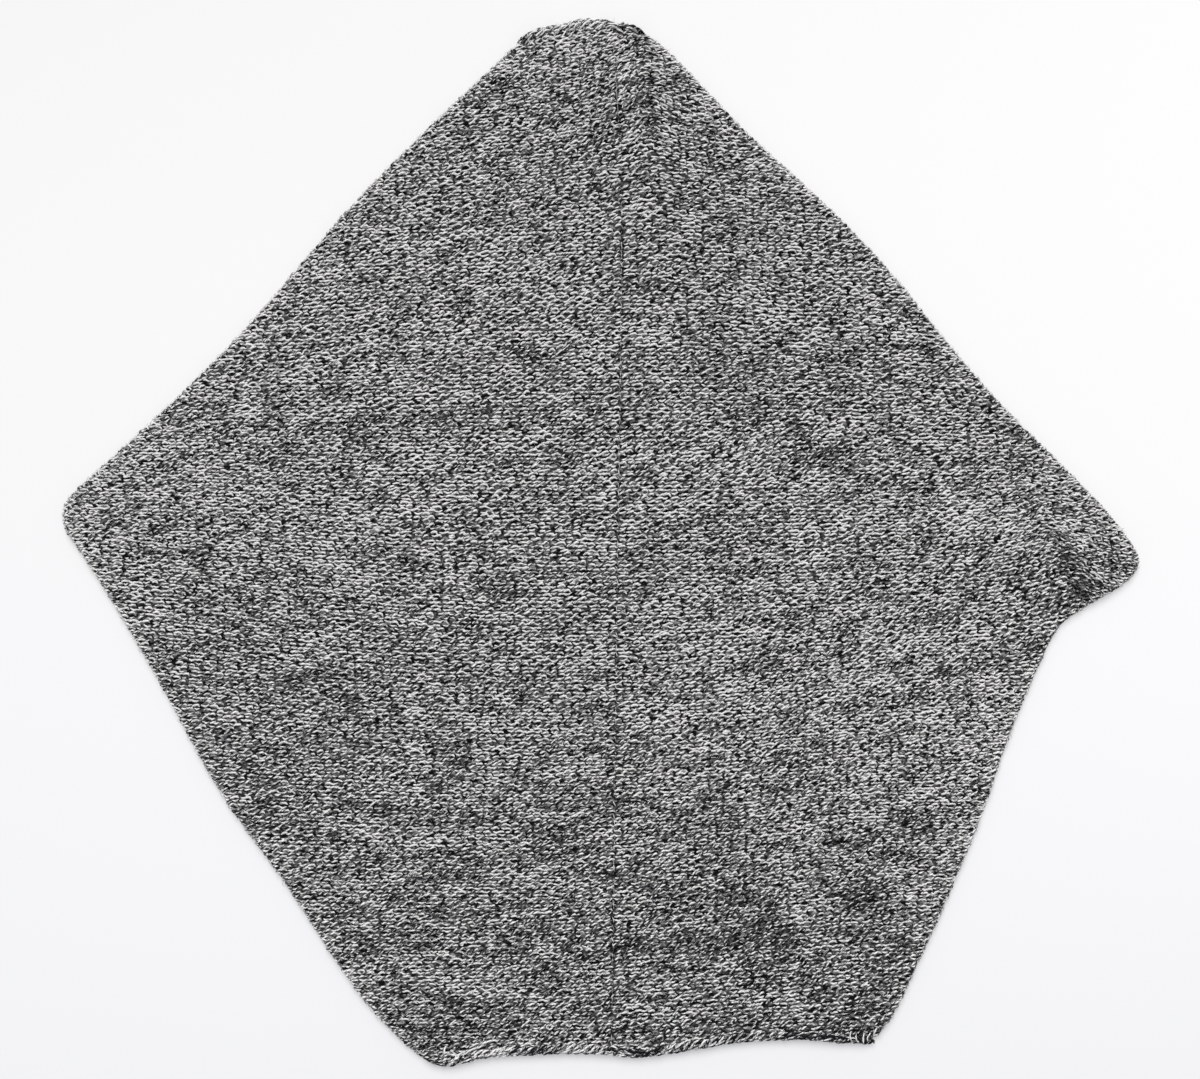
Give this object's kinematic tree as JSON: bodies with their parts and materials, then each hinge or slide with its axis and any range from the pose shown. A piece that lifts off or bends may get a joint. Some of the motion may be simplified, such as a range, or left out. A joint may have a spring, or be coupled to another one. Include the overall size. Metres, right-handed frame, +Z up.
{
  "type": "poncho-style pullover sweater, laid flat",
  "caption": "Chunky marl knit pullover with batwing sleeves in one with the body and a centre back seam, laid flat with its back up.",
  "frame": {"origin": "on the surface that the garment lies on, under the middle of its outline's box", "axes": "+Z up out of the surface, +Y towards the neck edge, +X towards the drooping sleeve end at the right as it lies back up"},
  "size_m": [0.8639, 0.8384, 0.0143],
  "materials": {
    "marl_knit": "matt chunky knit in a black and light grey marl yarn, purl side out, slightly fuzzy"
  },
  "bodies": {
    "root": {"back_left": "marl_knit", "back_right": "marl_knit", "front": "marl_knit"}
  },
  "joints": []
}
